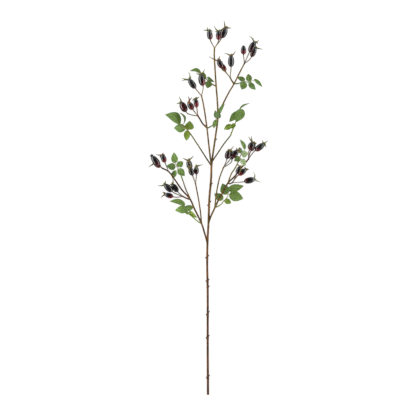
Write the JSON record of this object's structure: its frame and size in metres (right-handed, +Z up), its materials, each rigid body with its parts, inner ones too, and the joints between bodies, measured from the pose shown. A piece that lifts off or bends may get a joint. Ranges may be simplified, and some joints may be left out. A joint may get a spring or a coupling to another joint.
{
  "type": "rose hip sprig",
  "caption": "Long cut rose sprig lying on a surface: thin woody branching stem, groups of dark oval hips with dry sepals, and toothed compound leaves.",
  "frame": {"origin": "on the surface that the sprig lies on, under the middle of its bounding box", "axes": "+Y along the sprig from the cut foot of its stem to its crown, +X to the right seen from above, +Z up from the surface"},
  "size_m": [0.2395, 0.7499, 0.0427],
  "materials": {
    "bark": "rough brown bark",
    "twig": "smooth tan to olive young bark",
    "hip": "glossy near-black skin with dark red patches, olive dry sepals",
    "leaf": "matt green with lighter veins, paler beneath"
  },
  "bodies": {
    "root": {"centre_leaf": "leaf", "centre_shoot": "twig", "crown_hip_1": "hip", "crown_hip_2": "hip", "crown_hip_3": "hip", "inner_left_hip_1": "hip", "inner_left_hip_2": "hip", "inner_left_hip_3": "hip", "inner_right_hip_1": "hip", "inner_right_hip_2": "hip", "inner_right_hip_3": "hip", "left_inner_branch": "twig", "left_leaf": "leaf", "left_leaf_stalk": "twig", "left_lower_branch": "twig", "left_shoot": "twig", "left_shoot_leaf": "leaf", "low_left_hip_1": "hip", "low_left_hip_2": "hip", "low_left_hip_3": "hip", "low_left_leaf": "leaf", "low_left_twig": "twig", "low_right_hip_1": "hip", "low_right_hip_2": "hip", "low_right_hip_3": "hip", "low_right_leaf": "leaf", "low_right_twig": "twig", "main_stem": "bark", "middle_left_hip_1": "hip", "middle_left_hip_2": "hip", "middle_left_hip_3": "hip", "middle_left_twig": "twig", "middle_right_hip_1": "hip", "middle_right_hip_2": "hip", "middle_right_hip_3": "hip", "middle_right_twig": "twig", "outer_left_hip_1": "hip", "outer_left_hip_2": "hip", "outer_left_hip_3": "hip", "outer_left_leaf": "leaf", "outer_left_leaf_stalk": "twig", "outer_right_hip_1": "hip", "outer_right_hip_2": "hip", "outer_right_hip_3": "hip", "outer_right_leaf": "leaf", "outer_right_leaf_stalk": "twig", "right_inner_branch": "twig", "right_leaf": "leaf", "right_leaf_stalk": "twig", "right_lower_branch": "twig", "right_shoot": "twig", "top_left_hip_1": "hip", "top_left_hip_2": "hip", "top_left_hip_3": "hip", "top_right_hip_1": "hip", "top_right_hip_2": "hip", "top_right_hip_3": "hip", "top_right_leaf": "leaf"}
  },
  "joints": []
}
